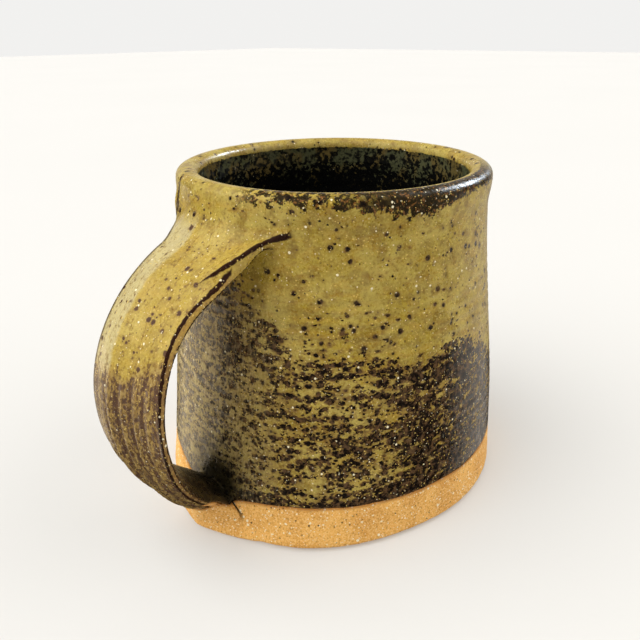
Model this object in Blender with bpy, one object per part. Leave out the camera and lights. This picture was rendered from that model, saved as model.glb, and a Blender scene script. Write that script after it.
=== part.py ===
"""Handmade stoneware mug with a pulled strap handle, as its separate clay and glaze pieces.

Metres, +Z up. The origin is the centre of the foot on the table, and the handle points along -X.
Every outer surface is the finished surface plus an offset: 0 is the fired glaze that a hand touches,
and CLAY is the clay below it. Angles are turns from the handle, positive towards -Y.
"""

import math

import bmesh
import bpy
from mathutils import Vector
from mathutils.geometry import interpolate_bezier

# Driving dimensions of the thrown cup.
HEIGHT = 0.0900
FOOT_RADIUS = 0.0501
WALL_TAPER = 0.07
SHOULDER_DROP = 0.0021
SHOULDER_LOW = 0.024
SHOULDER_HIGH = 0.078
LIP_FLARE = 0.0008
FLARE_LOW = 0.080
WALL_THICKNESS = 0.0050
FLOOR_THICKNESS = 0.0070
FLOOR_FILLET = 0.0120
FOOT_CHAMFER = 0.0012

# The rounded lip: an ellipse arc in section.
LIP_RADIUS = 0.03975
LIP_HALF_WIDTH = 0.00295
LIP_HALF_HEIGHT = 0.0026
LIP_CENTRE_Z = HEIGHT - LIP_HALF_HEIGHT
LIP_THICKENING_LOW = 0.074

# The foot swells out of round towards the handle, where the strap's tail was pressed on.
BULGE = 0.0042
BULGE_DECAY = 0.022
BULGE_CENTRE = math.radians(10)
BULGE_FULL = math.radians(20)
BULGE_END = math.radians(58)

# Glaze coats and the gaps between pieces.
GLAZE = 0.0006
GAP = 0.0003
CLAY = -(GLAZE + GAP)
SLIP_THICKNESS = 0.0008
GLAZE_LINE_Z = 0.0127
STRAP_GLAZE_LINE_Z = 0.0075
ASH_LINE_Z = 0.0500
LINER_EDGE_Z = 0.0848
BARE_BAND_LOW = 0.0105
SLIP_LOW_Z = 0.0005
SLIP_SPLIT_Z = 0.0450

# Fitting solids run past the pieces they shape, each a little further than the one inside it.
REACH = 0.12
TOOL_LOW = -0.010
TOOL_HIGH = 0.095
TOOL_STEP = 0.002
COAT_LOW = -0.008
COAT_OVERLAP = 0.004

# The strap handle's outer edge in the handle's plane, as (distance from the axis, height).
STRAP_ROOT = (0.0400, 0.0795)
STRAP_CROWN_HANDLES = ((0.0595, 0.0752), (0.0743, 0.0600))
STRAP_REACH = (0.0740, 0.0410)
STRAP_FALL_HANDLES = ((0.0740, 0.0300), (0.0665, 0.0145))
STRAP_HEEL = (0.0580, 0.0075)
STRAP_TAIL_HANDLES = ((0.0574, 0.0069), (0.0570, 0.0040))
STRAP_TOE = (0.0570, 0.0)
STRAP_HALF_WIDTH = 0.0130
STRAP_ROOT_FLARE = 0.0060
STRAP_TAIL_NARROWING = 0.0030
STRAP_THICKNESS = 0.0058
STRAP_TAIL_THICKENING = 0.0065
SECTION_POWER = 0.85

# Mesh resolution.
TURN_STEPS = 48
SECTION_STEPS = 18
LIP_STEPS = 6
FILLET_STEPS = 4
WALL_LEVELS = (0.0012, 0.006, 0.0105, 0.0124, 0.019, 0.028, 0.038, 0.048, 0.058, 0.068, 0.078, 0.084)

# Colour, roughness and metallic value of each material.
FINISHES = {
    "bare_stoneware": ((0.52, 0.27, 0.11), 0.85, 0.0),
    "handle_clay": ((0.50, 0.26, 0.11), 0.85, 0.0),
    "joining_slip": ((0.44, 0.24, 0.12), 0.90, 0.0),
    "iron_glaze": ((0.050, 0.028, 0.020), 0.30, 0.0),
    "ash_glaze": ((0.25, 0.21, 0.055), 0.35, 0.0),
    "liner_glaze": ((0.020, 0.022, 0.014), 0.18, 0.0),
}


def clear_scene():
    for item in list(bpy.data.objects):
        bpy.data.objects.remove(item, do_unlink=True)


def smoothstep(low, high, value):
    t = min(1.0, max(0.0, (value - low) / (high - low)))
    return t * t * (3.0 - 2.0 * t)


def make_material(slot):
    colour, roughness, metallic = FINISHES[slot]
    material = bpy.data.materials.new(slot)
    material.use_nodes = True
    shader = material.node_tree.nodes["Principled BSDF"]
    shader.inputs["Base Color"].default_value = (*colour, 1.0)
    shader.inputs["Roughness"].default_value = roughness
    shader.inputs["Metallic"].default_value = metallic
    return material


def loft(name, rings):
    """Skin a run of equal rings and cap both ends."""
    bm = bmesh.new()
    rows = [[bm.verts.new(point) for point in ring] for ring in rings]
    bm.faces.new(rows[0])
    bm.faces.new(rows[-1])
    count = len(rows[0])
    for lower, upper in zip(rows, rows[1:]):
        for i in range(count):
            j = (i + 1) % count
            bm.faces.new((lower[i], lower[j], upper[j], upper[i]))
    bmesh.ops.recalc_face_normals(bm, faces=bm.faces)
    mesh = bpy.data.meshes.new(name)
    bm.to_mesh(mesh)
    bm.free()
    mesh.shade_smooth()
    mesh.set_sharp_from_angle(angle=math.radians(40))
    piece = bpy.data.objects.new(name, mesh)
    bpy.context.collection.objects.link(piece)
    return piece


def as_cutter(piece):
    piece.hide_render = True
    piece.display_type = "WIRE"
    return piece


def combine(piece, other, operation):
    modifier = piece.modifiers.new(f"{operation}_{other.name}", "BOOLEAN")
    modifier.operation = operation
    modifier.solver = "EXACT"
    modifier.object = other
    return piece


def finished_wall_radius(z):
    taper = WALL_TAPER * z
    shoulder = SHOULDER_DROP * smoothstep(SHOULDER_LOW, SHOULDER_HIGH, z)
    flare = LIP_FLARE * smoothstep(FLARE_LOW, LIP_CENTRE_Z, z)
    return FOOT_RADIUS - taper - shoulder + flare


def foot_bulge(z, angle):
    turned = math.remainder(angle - BULGE_CENTRE, math.tau)
    share = 1.0 - smoothstep(BULGE_FULL, BULGE_END, abs(turned))
    return BULGE * share * math.exp(-max(z, 0.0) / BULGE_DECAY)


def band_swell(z):
    """Below the glaze line the bare clay stands almost flush with the glaze above it."""
    return GLAZE * (1.0 - smoothstep(BARE_BAND_LOW, GLAZE_LINE_Z - GAP, z))


def ring_at(radius, z, bulged):
    points = []
    for i in range(TURN_STEPS):
        angle = math.tau * i / TURN_STEPS
        reach = radius + (foot_bulge(z, angle) if bulged else 0.0)
        points.append((-reach * math.cos(angle), -reach * math.sin(angle), z))
    return points


def wall_ring(z, offset):
    return ring_at(finished_wall_radius(z) + offset + band_swell(z), z, bulged=True)


def wall_solid(name, offset, low, high):
    """A solid with the outer wall's shape, for fitting the pieces that lie against the wall."""
    levels = [low, 0.0] + [z for z in WALL_LEVELS if z < high] + [high]
    return as_cutter(loft(name, [wall_ring(z, offset) for z in levels]))


def lip_profile(offset):
    """The lip's section from its outer side, over the top, to its inner side."""
    points = []
    for i in range(LIP_STEPS + 1):
        angle = math.pi * i / LIP_STEPS
        across = (LIP_HALF_WIDTH + offset) * math.cos(angle)
        up = (LIP_HALF_HEIGHT + offset) * math.sin(angle)
        points.append((LIP_RADIUS + across, LIP_CENTRE_Z + up))
    return points


def inner_profile(offset):
    """The inside's section from below the lip down to the floor; offset runs into the clay."""
    points = []
    fillet_top = FLOOR_THICKNESS + FLOOR_FILLET
    for z in (0.080, 0.068, 0.050, 0.034, fillet_top):
        thickening = smoothstep(LIP_THICKENING_LOW, LIP_CENTRE_Z, z)
        wall = WALL_THICKNESS + thickening * (2.0 * LIP_HALF_WIDTH - WALL_THICKNESS)
        points.append((finished_wall_radius(z) - wall - offset, z))
    corner = finished_wall_radius(fillet_top) - WALL_THICKNESS - FLOOR_FILLET
    for i in range(1, FILLET_STEPS + 1):
        angle = 0.5 * math.pi * i / FILLET_STEPS
        reach = FLOOR_FILLET - offset
        points.append((corner + reach * math.cos(angle), fillet_top - reach * math.sin(angle)))
    return points


def make_cup_body():
    """Thrown wall and floor in one lump of clay; its foot band is left bare."""
    rings = [ring_at(FOOT_RADIUS - GAP - FOOT_CHAMFER, 0.0, bulged=True)]
    rings += [wall_ring(z, CLAY) for z in WALL_LEVELS]
    rings += [ring_at(r, z, bulged=False) for r, z in lip_profile(CLAY)]
    rings += [ring_at(r, z, bulged=False) for r, z in inner_profile(CLAY)]
    return loft("cup_body", rings)


def make_liner_glaze():
    """The poured inside coat, which also rolls over the lip."""
    shown = inner_profile(0.0)[::-1] + lip_profile(0.0)[::-1]
    hidden = lip_profile(-GLAZE) + inner_profile(-GLAZE)
    edge = [(finished_wall_radius(LINER_EDGE_Z), LINER_EDGE_Z)]
    edge.append((finished_wall_radius(LINER_EDGE_Z) - GLAZE, LINER_EDGE_Z))
    rings = [ring_at(r, z, bulged=False) for r, z in shown + edge + hidden]
    return loft("liner_glaze", rings)


def strap_edge():
    """Points down the strap's outer edge, from inside the wall, round the finger loop, to the table."""
    knots = (STRAP_ROOT, STRAP_REACH, STRAP_HEEL, STRAP_TOE)
    handles = (STRAP_CROWN_HANDLES, STRAP_FALL_HANDLES, STRAP_TAIL_HANDLES)
    steps = (12, 11, 4)
    points = []
    for start, (leave, arrive), end, count in zip(knots, handles, knots[1:], steps):
        flat = [Vector((p[0], 0.0, p[1])) for p in (start, leave, arrive, end)]
        points += interpolate_bezier(*flat, count)[:-1]
    return points + [Vector((STRAP_TOE[0], 0.0, STRAP_TOE[1]))]


def strap_solid(name, offset):
    """The pulled strap: a flattened oval section carried down its outer edge."""
    edge = strap_edge()
    last = len(edge) - 1
    rings = []
    for i, point in enumerate(edge):
        run = edge[min(i + 1, last)] - edge[max(i - 1, 0)]
        if i == last:
            run = Vector((0.0, 0.0, -1.0))
        run.normalize()
        outward = Vector((-run.z, 0.0, run.x))
        share = i / last
        root = 1.0 - smoothstep(0.0, 0.30, share)
        tail = smoothstep(0.55, 0.95, share)
        half_width = STRAP_HALF_WIDTH + STRAP_ROOT_FLARE * root - STRAP_TAIL_NARROWING * tail
        thickness = STRAP_THICKNESS + STRAP_TAIL_THICKENING * tail
        centre = point - outward * (thickness / 2.0)
        ring = []
        for k in range(SECTION_STEPS):
            angle = math.tau * k / SECTION_STEPS
            across = math.copysign(abs(math.cos(angle)) ** SECTION_POWER, math.cos(angle))
            through = math.copysign(abs(math.sin(angle)) ** SECTION_POWER, math.sin(angle))
            spot = centre + outward * through * (thickness / 2.0 + offset)
            ring.append((-spot.x, across * (half_width + offset), spot.z))
        rings.append(ring)
    return loft(name, rings)


def box_solid(name, low, high):
    corners = ((0, 0), (1, 0), (1, 1), (0, 1))
    box = (low, high)
    rings = [[(box[i][0], box[j][1], box[k][2]) for i, j in corners] for k in (0, 1)]
    return as_cutter(loft(name, rings))


def foot_resist_cutter():
    """The waxed zone that takes no glaze: the foot band, dipping lower over the strap's heel."""
    outline = (
        (-REACH, -REACH),
        (REACH, -REACH),
        (REACH, GLAZE_LINE_Z),
        (-0.052, GLAZE_LINE_Z),
        (-0.057, STRAP_GLAZE_LINE_Z),
        (-REACH, STRAP_GLAZE_LINE_Z),
    )
    rings = [[(x, y, z) for x, z in outline] for y in (-REACH, REACH)]
    return as_cutter(loft("cutter_foot_resist", rings))


def make_strap_handle(seat):
    """The strap stops just short of the wall, where the joining slip takes over."""
    return combine(strap_solid("strap_handle", CLAY), seat, "DIFFERENCE")


def make_joint_slip(name, low, high, outer, inner):
    """Slip pressed between the scored wall and one end of the strap."""
    slip = strap_solid(name, CLAY)
    combine(slip, outer, "INTERSECT")
    combine(slip, inner, "DIFFERENCE")
    window = box_solid(f"cutter_{name}", (-REACH, -REACH, low), (0.0, REACH, high))
    return combine(slip, window, "INTERSECT")


def glazed_form(name, offset, low, high):
    """Wall and strap as one solid, which is what a dip coat wraps."""
    form = as_cutter(strap_solid(name, offset))
    return combine(form, wall_solid(f"{name}_wall", offset, low, high), "UNION")


def make_glaze_coat(name, under, cutters):
    """One dip coat over the wall and the strap together."""
    wall = wall_solid(f"cutter_{name}_wall", 0.0, COAT_LOW, LINER_EDGE_Z + COAT_OVERLAP)
    coat = strap_solid(name, 0.0)
    combine(coat, wall, "UNION")
    combine(coat, under, "DIFFERENCE")
    for cutter in cutters:
        combine(coat, cutter, "DIFFERENCE")
    return coat


def build():
    clear_scene()
    cup = make_cup_body()
    liner = make_liner_glaze()
    slip_face = CLAY + GAP
    seat = wall_solid("cutter_strap_seat", slip_face + SLIP_THICKNESS + GAP, TOOL_LOW, TOOL_HIGH)
    slip_outer = wall_solid("cutter_slip_outer", slip_face + SLIP_THICKNESS, TOOL_LOW, TOOL_HIGH)
    slip_inner = wall_solid("cutter_slip_inner", slip_face, TOOL_LOW - TOOL_STEP, TOOL_HIGH + TOOL_STEP)
    strap = make_strap_handle(seat)
    upper_slip = make_joint_slip("upper_joint_slip", SLIP_SPLIT_Z, HEIGHT, slip_outer, slip_inner)
    lower_slip = make_joint_slip("lower_joint_slip", SLIP_LOW_Z, SLIP_SPLIT_Z, slip_outer, slip_inner)
    under = glazed_form("cutter_under_glaze", -GLAZE, TOOL_LOW - TOOL_STEP, TOOL_HIGH)
    top = (REACH, REACH, REACH)
    bottom = (-REACH, -REACH, -REACH)
    above = box_solid("cutter_above_ash_line", (-REACH, -REACH, ASH_LINE_Z - GAP / 2), top)
    below = box_solid("cutter_below_ash_line", bottom, (REACH, REACH, ASH_LINE_Z + GAP / 2))
    rim = box_solid("cutter_rim", (-REACH, -REACH, LINER_EDGE_Z - GAP), top)
    iron = make_glaze_coat("iron_glaze_coat", under, (foot_resist_cutter(), above))
    ash = make_glaze_coat("ash_glaze_coat", under, (below, rim))
    slots = {
        cup: "bare_stoneware",
        strap: "handle_clay",
        upper_slip: "joining_slip",
        lower_slip: "joining_slip",
        iron: "iron_glaze",
        ash: "ash_glaze",
        liner: "liner_glaze",
    }
    materials = {slot: make_material(slot) for slot in FINISHES}
    for piece, slot in slots.items():
        piece.data.materials.append(materials[slot])


build()
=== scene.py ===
"""Looks of a handmade stoneware mug with a pulled strap handle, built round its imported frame.

The form functions work in millimetres in the row's frame: +Z up and the handle along -X. A form is
below 0 inside the piece and grows by about 1 for each millimetre outside it. A turn is an angle from
the handle, positive towards -Y, and the near side is the -Y side.
"""

import math

import bpy
import numpy as np
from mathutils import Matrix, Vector


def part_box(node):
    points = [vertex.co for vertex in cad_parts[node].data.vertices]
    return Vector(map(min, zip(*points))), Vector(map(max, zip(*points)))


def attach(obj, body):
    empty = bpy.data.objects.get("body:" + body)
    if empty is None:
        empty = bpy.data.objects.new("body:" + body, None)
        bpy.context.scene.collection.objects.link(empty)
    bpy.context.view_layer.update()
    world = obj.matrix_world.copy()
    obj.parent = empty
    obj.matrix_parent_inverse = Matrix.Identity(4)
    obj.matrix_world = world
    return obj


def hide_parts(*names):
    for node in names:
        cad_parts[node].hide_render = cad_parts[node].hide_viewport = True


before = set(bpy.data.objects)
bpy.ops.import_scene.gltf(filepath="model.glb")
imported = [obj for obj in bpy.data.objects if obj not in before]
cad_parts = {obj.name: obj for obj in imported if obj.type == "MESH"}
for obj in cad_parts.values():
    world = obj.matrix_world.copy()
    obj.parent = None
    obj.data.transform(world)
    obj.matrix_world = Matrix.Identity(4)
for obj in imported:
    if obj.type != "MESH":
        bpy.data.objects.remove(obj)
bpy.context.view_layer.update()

MM = 0.001

# Driving dimensions, in millimetres, from the frame.
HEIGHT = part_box("liner_glaze")[1].z / MM
FOOT_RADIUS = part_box("cup_body")[1].x / MM + 0.2
STRAP_REACH = -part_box("iron_glaze_coat")[0].x / MM

# The thrown wall.
WALL_TAPER = 0.07
SHOULDER_DROP = 2.1
SHOULDER = (24.0, 78.0)
LIP_FLARE = 1.0
LIP_HALF_WIDTH = 2.95
LIP_HALF_HEIGHT = 2.6
LIP_CENTRE = HEIGHT - LIP_HALF_HEIGHT
LIP_OUTSIDE = FOOT_RADIUS - WALL_TAPER * LIP_CENTRE - SHOULDER_DROP + LIP_FLARE
LIP_RADIUS = LIP_OUTSIDE - LIP_HALF_WIDTH
LIP_ROUNDNESS = 2.3
WALL_THICKNESS = 5.0
FLOOR_THICKNESS = 7.0
FLOOR_FILLET = 12.0
FOOT_EDGE = 2.0
RING_HEIGHT = 0.09
RING_PITCH = 3.0

# The underside: a bare ring round a shallow hollow.
HOLLOW_DEPTH = 1.0
HOLLOW_EDGE = (34.0, 38.0)
BARE_THICKNESS = 0.8

# The foot's swelling towards the handle.
BULGE = 4.6
BULGE_DECAY = 22.0
BULGE_CENTRE = math.radians(8)
BULGE_SPAN = (math.radians(10), math.radians(64))
FAR_BULGE = 1.3

# Glaze.
GLAZE = 0.5
GLAZE_LINE = 12.7
GLAZE_DIP = 3.4
HEEL_LIFT = 6.4
ASH_LINE = 50.0
ASH_RISE = 18.0
ASH_TONGUE = 11.0
ASH_INSIDE = 82.5
STRAP_ASH_LINE = 54.0
RIM_BAND = 87.3
LINER_INSET = 0.12

# The strap's outer edge, as (distance from the axis, height).
STRAP_KNOTS = (
    ((40.0, 79.5), (59.5, 75.2), (STRAP_REACH + 0.3, 60.0), (STRAP_REACH, 41.0)),
    ((STRAP_REACH, 41.0), (STRAP_REACH, 30.0), (68.6, 16.0), (60.2, 8.6)),
    ((60.2, 8.6), (58.6, 7.0), (57.5, 4.0), (57.4, -1.0)),
)
KNOT_STEPS = 90
STRAP_HALF_WIDTH = 13.2
STRAP_TAIL_HALF_WIDTH = 9.4
STRAP_THICKNESS = 5.0
STRAP_EDGE_THICKNESS = 0.95
STRAP_CORE = 39.5
ROOT_FLARE = 3.4
NEAR_FLARE = 0.9
FAR_FLARE = 4.5
WAIST = 0.9
TAIL_SPREAD = 4.3
TAIL_CROWN = 2.0
HEEL_CROWN = 2.9
HEEL_THICKENING = 4.2
ROOT_MELT = 9.5
FOLD_END = 24.0
FOLD_SHIFT = 5.3
FOLD_DROP = 1.5
WALL_CREST = 1.2
BEVEL_WIDTH = 0.65
BEVEL_DROP = 1.2
FAR_FACET = 5.4
FAR_FACET_RISE = 1.2
RIDGE_RATE = 1.45

# The soft ridge where the strap's far edge was smoothed up to the lip.
FAR_RIDGE = math.radians(-27.0)
FAR_RIDGE_HEIGHT = 1.7
FAR_RIDGE_LINE = math.radians(-25.0)

CELL = 0.6
# A signed distance that stands for "nowhere near the line".
FAR_AWAY = 9.0


# ---- small maths ----


def smoothstep(low, high, value):
    t = np.clip((value - low) / (high - low), 0.0, 1.0)
    return t * t * (3.0 - 2.0 * t)


def fall(low, high, value):
    return 1.0 - smoothstep(low, high, value)


def smooth_min(a, b, width):
    h = np.maximum(width - np.abs(a - b), 0.0) / width
    return np.minimum(a, b) - h * h * width / 4.0


def smooth_max(a, b, width):
    return -smooth_min(-a, -b, width)


def bump(value, centre, width):
    return np.exp(-(((value - centre) / width) ** 2))


def wrapped(angle):
    return (angle + math.pi) % math.tau - math.pi


def lattice(ix, iy, iz, seed):
    """A fixed pseudo-random value from -1 to 1 for each whole-number corner."""
    h = ix * 374761393 + iy * 668265263 + iz * 1274126177 + seed * 974634777
    h = (h ^ (h >> 13)) & 0xFFFFFFFF
    h = (h * 1103515245 + 12345) & 0xFFFFFFFF
    h = (h ^ (h >> 16)) & 0xFFFFFF
    return h / 8388607.5 - 1.0


def noise(x, y, z, size, seed):
    """Smooth value noise from -1 to 1 with features of the given size."""
    cells, fades = [], []
    for value in (x, y, z):
        scaled = np.asarray(value, float) / size
        cell = np.floor(scaled)
        part = scaled - cell
        cells.append(cell.astype(np.int64))
        fades.append(part * part * (3.0 - 2.0 * part))
    total = 0.0
    for corner in range(8):
        weight = 1.0
        index = []
        for axis in range(3):
            step = (corner >> axis) & 1
            index.append(cells[axis] + step)
            weight = weight * (fades[axis] if step else 1.0 - fades[axis])
        total = total + weight * lattice(*index, seed)
    return total


# ---- forms, in millimetres ----


def throwing_rings(z, turn):
    """Shallow spiral rings left by the potter's fingers."""
    phase = math.tau * z / RING_PITCH + turn
    swell = 0.55 + 0.45 * np.sin(0.21 * z + 1.7 * np.sin(turn) + 0.6)
    zone = smoothstep(10.0, 16.0, z) * fall(70.0, 84.0, z)
    return RING_HEIGHT * np.sin(phase) * swell * zone


def wall_radius(z):
    shoulder = SHOULDER_DROP * smoothstep(*SHOULDER, z)
    flare = LIP_FLARE * smoothstep(80.0, LIP_CENTRE, z)
    return FOOT_RADIUS - WALL_TAPER * z - shoulder + flare


def foot_bulge(z, turn):
    share = fall(*BULGE_SPAN, np.abs(wrapped(turn - BULGE_CENTRE)))
    behind = FAR_BULGE * bump(wrapped(turn + 0.80), 0.0, 0.25)
    return (BULGE * share + behind) * np.exp(-np.maximum(z, 0.0) / BULGE_DECAY)


def out_of_round(z, turn):
    """The slow wander of a hand-thrown wall."""
    wave = 0.22 * np.sin(2.0 * turn + 0.6 + 0.02 * z) + 0.12 * np.sin(3.0 * turn - 0.03 * z)
    lean = 0.6 * bump(wrapped(turn + 2.44), 0.0, 0.9) * smoothstep(30.0, 80.0, z)
    return wave + lean


def inner_radius(z):
    thickening = smoothstep(74.0, LIP_CENTRE, z)
    wall = WALL_THICKNESS + thickening * (2.0 * LIP_HALF_WIDTH - WALL_THICKNESS)
    return wall_radius(z) - wall


def polar(x, y):
    return np.hypot(x, y), np.arctan2(-y, -x)


def far_ridge(z, turn):
    rise = smoothstep(74.0, 79.0, z) * fall(82.0, 87.5, z)
    return FAR_RIDGE_HEIGHT * bump(turn, FAR_RIDGE, 0.08) * rise


def outer_form(r, turn, z):
    """How far a place is outside the wall's outer side."""
    proud = foot_bulge(z, turn) + throwing_rings(z, turn) + far_ridge(z, turn)
    return (r - out_of_round(z, turn) - wall_radius(z) - proud) * 0.995


def wall_form(x, y, z):
    """The thrown wall: outer side, rounded lip and inner side. It has no floor."""
    r, turn = polar(x, y)
    outer = outer_form(r, turn, z)
    r = r - out_of_round(z, turn)
    below = np.maximum(outer, inner_radius(z) - r)
    across = np.abs(r - LIP_RADIUS) / LIP_HALF_WIDTH
    up = np.maximum(z - LIP_CENTRE, 0.0) / LIP_HALF_HEIGHT
    ring = (across**LIP_ROUNDNESS + up**LIP_ROUNDNESS) ** (1.0 / LIP_ROUNDNESS)
    lip = (ring - 1.0) * LIP_HALF_HEIGHT
    return np.where(z > LIP_CENTRE, lip, below)


def bezier(points, t):
    a, b, c, d = (np.array(p)[None] for p in points)
    t = t[:, None]
    s = 1.0 - t
    return s**3 * a + 3.0 * s * s * t * b + 3.0 * s * t * t * c + t**3 * d


def trace_strap():
    """Close points down the strap's outer edge, with their tangents and arc lengths."""
    runs = [bezier(knots, np.linspace(0.0, 1.0, KNOT_STEPS)) for knots in STRAP_KNOTS]
    points = np.concatenate([runs[0], runs[1][1:], runs[2][1:]])
    tangents = np.gradient(points, axis=0)
    tangents /= np.linalg.norm(tangents, axis=1)[:, None]
    steps = np.linalg.norm(np.diff(points, axis=0), axis=1)
    return points, tangents, np.concatenate([[0.0], np.cumsum(steps)])


STRAP_POINTS, STRAP_TANGENTS, STRAP_ARC = trace_strap()
HEEL_ARC = STRAP_ARC[2 * KNOT_STEPS - 2]


def strap_place(x, z):
    """Distance along the strap's outer edge, and how far outside that edge, in the handle's plane."""
    shape = np.broadcast(x, z).shape
    s = np.broadcast_to(-x, shape).ravel()
    h = np.broadcast_to(z, shape).ravel()
    along = np.empty(s.size)
    outside = np.empty(s.size)
    for start in range(0, s.size, 20000):
        part = slice(start, start + 20000)
        gap_s = s[part, None] - STRAP_POINTS[:, 0]
        gap_h = h[part, None] - STRAP_POINTS[:, 1]
        near = np.argmin(gap_s**2 + gap_h**2, axis=1)
        rows = np.arange(near.size)
        ds, dh = gap_s[rows, near], gap_h[rows, near]
        ts, th = STRAP_TANGENTS[near, 0], STRAP_TANGENTS[near, 1]
        along[part] = STRAP_ARC[near] + ds * ts + dh * th
        outside[part] = -ds * th + dh * ts
    return along.reshape(shape), outside.reshape(shape)


def strap_half_width(along, y):
    root_flare = ROOT_FLARE * np.exp(-np.maximum(along + 1.0, -1.0) / 2.4)
    near_flare = root_flare + NEAR_FLARE * fall(8.0, 36.0, along)
    far_flare = FAR_FLARE * fall(0.0, 11.0, along)
    waist = WAIST * bump(along, 34.0, 13.0)
    tail = smoothstep(HEEL_ARC - 30.0, HEEL_ARC + 2.0, along)
    spread = TAIL_SPREAD * smoothstep(HEEL_ARC + 0.5, HEEL_ARC + 7.0, along)
    narrowing = (STRAP_HALF_WIDTH - STRAP_TAIL_HALF_WIDTH) * tail - spread
    return STRAP_HALF_WIDTH + np.where(y < 0.0, near_flare - waist, far_flare) - narrowing


def fold_place(along):
    """Where across the strap its folded ridge runs: from the near edge at the wall towards the middle."""
    return -strap_half_width(along, -1.0) + 0.1 + FOLD_SHIFT * smoothstep(6.0, FOLD_END, along)


def bevel_width(along):
    """Width of the flat between the near edge's two corners."""
    return BEVEL_WIDTH + 0.9 * bump(along, 29.0, 9.0)


def fold_relief(along, y, half):
    """The folded ridge with the flat that drops away past it, and the depth of that drop."""
    fold = fold_place(along)
    drop = FOLD_DROP * smoothstep(2.0, 9.0, along) * fall(15.0, FOLD_END + 2.0, along)
    crest = fall(12.0, FOLD_END - 1.0, along) + WALL_CREST * fall(-3.0, 1.0, along)
    past = np.clip((fold - y) / np.maximum(half + fold, 0.7), 0.0, 1.0)
    rise = crest * fall(fold, fold + 9.0, y) * (1.0 - past)
    return rise - drop * past, drop


def near_bevel(along, y, half, heel):
    """How much is cut off between the near edge's two corners, and the cut's full depth."""
    width = bevel_width(along)
    depth = BEVEL_DROP * smoothstep(12.0, 22.0, along) * (1.0 - 0.5 * bump(along, 57.0, 9.0))
    depth = depth * (1.0 - 0.8 * heel)
    return depth * np.clip((width - half - y) / width, 0.0, 1.0), depth


def pulled_ridges(along, y, share):
    """Fine ridges that the wet hand left along the strap's lower half."""
    ridges = 0.30 * np.cos(RIDGE_RATE * y + 0.6) + 0.14 * np.cos(2.0 * RIDGE_RATE * y - 0.5)
    return ridges * smoothstep(40.0, 56.0, along) * (1.0 - share**4)


def far_facet(along, y, half):
    """The soft rise to the far facet's ridge and the fall beyond it."""
    rise = smoothstep(-3.0, FAR_FACET, y) - smoothstep(FAR_FACET, half, y)
    return FAR_FACET_RISE * smoothstep(8.0, 22.0, along) * rise


def strap_levels(along, y):
    """The section at each place along: half width, outer and inner levels, and the edge's two corners."""
    tail = smoothstep(HEEL_ARC - 6.0, HEEL_ARC + 4.0, along)
    heel = smoothstep(HEEL_ARC - 26.0, HEEL_ARC - 2.0, along)
    half = strap_half_width(along, y)
    share = np.clip(np.abs(y) / half, 0.0, 1.3)
    near_crown = 0.5 + 0.3 * smoothstep(16.0, 26.0, along) + 0.4 * smoothstep(45.0, 75.0, along)
    crown = np.where(y < 0.0, near_crown, 0.25) + HEEL_CROWN * heel + TAIL_CROWN * tail
    fold, drop = fold_relief(along, y, half)
    bevel, bevel_depth = near_bevel(along, y, half, heel)
    outer = -crown * share ** (2.0 - 0.6 * tail) + fold - bevel
    outer = outer + pulled_ridges(along, y, share) * (1.0 - tail)
    outer = outer + far_facet(along, y, half) * (1.0 - heel)
    corner = -crown - np.where(y < 0.0, drop, 0.0)
    near_edge = STRAP_EDGE_THICKNESS + 0.3 * bevel_depth - 0.45 * heel
    inner_corner = corner - np.where(y < 0.0, near_edge, STRAP_EDGE_THICKNESS + 0.3)
    thickness = STRAP_THICKNESS + HEEL_THICKENING * heel
    inner = -thickness + (thickness + inner_corner) * share**2
    return half, outer, inner, corner, inner_corner


def strap_form(x, y, along, outside):
    """The pulled strap: crowned outside, lens-shaped inside, with thin edges and a folded near edge."""
    half, outer, inner, _, _ = strap_levels(along, y)
    slab = smooth_max(outside - outer, inner - outside, 0.7)
    body = smooth_max(slab, np.abs(y) - half, 0.8)
    r, _ = polar(x, y)
    return np.maximum(body, STRAP_CORE - r)


def melted(x, y, z, wall, joint):
    """The strap joined to a wall form. The joint's least width is given for each height."""
    shape = np.broadcast(x, y, z).shape
    along, outside = strap_place(x, z)
    near = (np.broadcast_to(x, shape) < -30.0) & (np.abs(np.broadcast_to(y, shape)) < 30.0)
    result = np.array(np.broadcast_to(wall, shape))
    if not near.any():
        return result
    px, py, pz = (np.broadcast_to(v, shape)[near] for v in (x, y, z))
    pa, po = (np.broadcast_to(v, shape)[near] for v in (along, outside))
    strap = strap_form(px, py, pa, po)
    r, _ = polar(px, py)
    fold = fold_place(pa)
    top = smoothstep(-2.5, 0.5, po) * fall(24.0, 38.0, pa)
    top = top * smoothstep(fold - 1.0, fold + 12.0, py) * (1.0 - 0.75 * smoothstep(9.0, 19.0, py))
    width = joint(pz) + ROOT_MELT * top
    width = 0.05 + width * smoothstep(STRAP_CORE, 42.5, r)
    result[near] = smooth_min(result[near], strap, width)
    return result


def skin_form(x, y, z):
    """The finished outer surface of wall and strap together, melted into each other by the glaze."""
    return melted(x, y, z, wall_form(x, y, z), lambda height: 1.3)


def foot_form(x, y, z):
    """The bare clay of the foot and the strap's tail, smoothed together towards the table."""
    r, turn = polar(x, y)
    hollow = HOLLOW_DEPTH * fall(*HOLLOW_EDGE, r)
    solid = smooth_max(outer_form(r, turn, z), hollow - z, FOOT_EDGE)
    joined = melted(x, y, z, solid, lambda height: 0.3 + 5.0 * fall(0.8, 5.6, height))
    joined = smooth_max(joined, hollow - z, 1.6)
    over = z - glaze_line(x, y)
    return joined + 0.12 + (GLAZE + 0.1) * smoothstep(-0.25, 0.5, over)


# ---- meshes ----


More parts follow.
